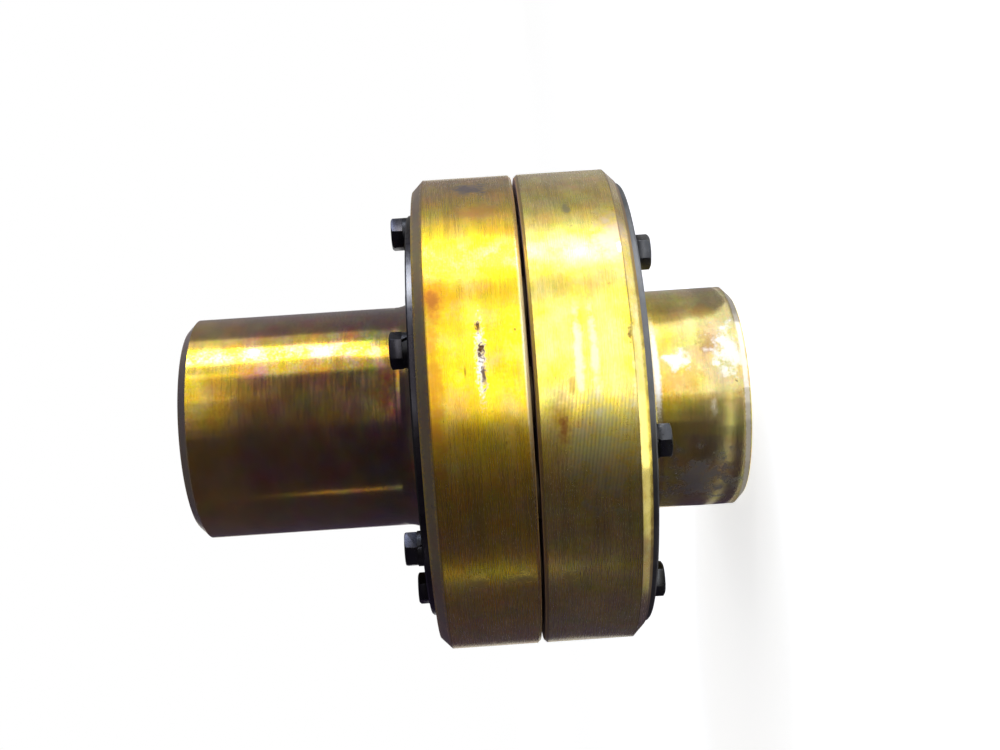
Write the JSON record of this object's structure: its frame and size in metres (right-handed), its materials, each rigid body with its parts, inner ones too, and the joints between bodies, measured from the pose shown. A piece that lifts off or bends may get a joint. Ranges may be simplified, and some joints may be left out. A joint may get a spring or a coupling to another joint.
{
  "type": "elastic pin coupling",
  "caption": "Flexible shaft coupling with flanged, keyed hubs of unequal length, joined by a ring of barrel-ended nylon pins that bolted plates hold in.",
  "frame": {"origin": "centre of the short hub's end face, which the coupling stands on", "axes": "+Z along the common axis of both hubs, from the short hub to the long one; +X and +Y across it, with the first pin 3.5 degrees from +X"},
  "size_m": [0.16, 0.16, 0.1842],
  "materials": {
    "turned_steel": "turned, under a yellow-brown rust-preventing film",
    "plate_steel": "blackened sheet steel with bare edges",
    "nylon": "turned nylon, darkened by oil",
    "bolt_steel": "blackened",
    "washer_steel": "blackened spring steel"
  },
  "bodies": {
    "short_side": {"short_half_coupling": "turned_steel", "short_side_plate": "plate_steel", "short_side_bolts": "bolt_steel", "short_side_washers": "washer_steel", "elastic_pin_01": "nylon", "elastic_pin_02": "nylon", "elastic_pin_03": "nylon", "elastic_pin_04": "nylon", "elastic_pin_05": "nylon", "elastic_pin_06": "nylon", "elastic_pin_07": "nylon", "elastic_pin_08": "nylon", "elastic_pin_09": "nylon", "elastic_pin_10": "nylon", "elastic_pin_11": "nylon", "elastic_pin_12": "nylon"},
    "long_side": {"long_half_coupling": "turned_steel", "long_side_plate": "plate_steel", "long_side_bolts": "bolt_steel", "long_side_washers": "washer_steel"}
  },
  "joints": [
    {"name": "axial_float", "type": "slide", "parent": "short_side", "child": "long_side", "axis": [0, 0, 1], "range_m": [0, 0.002]}
  ]
}
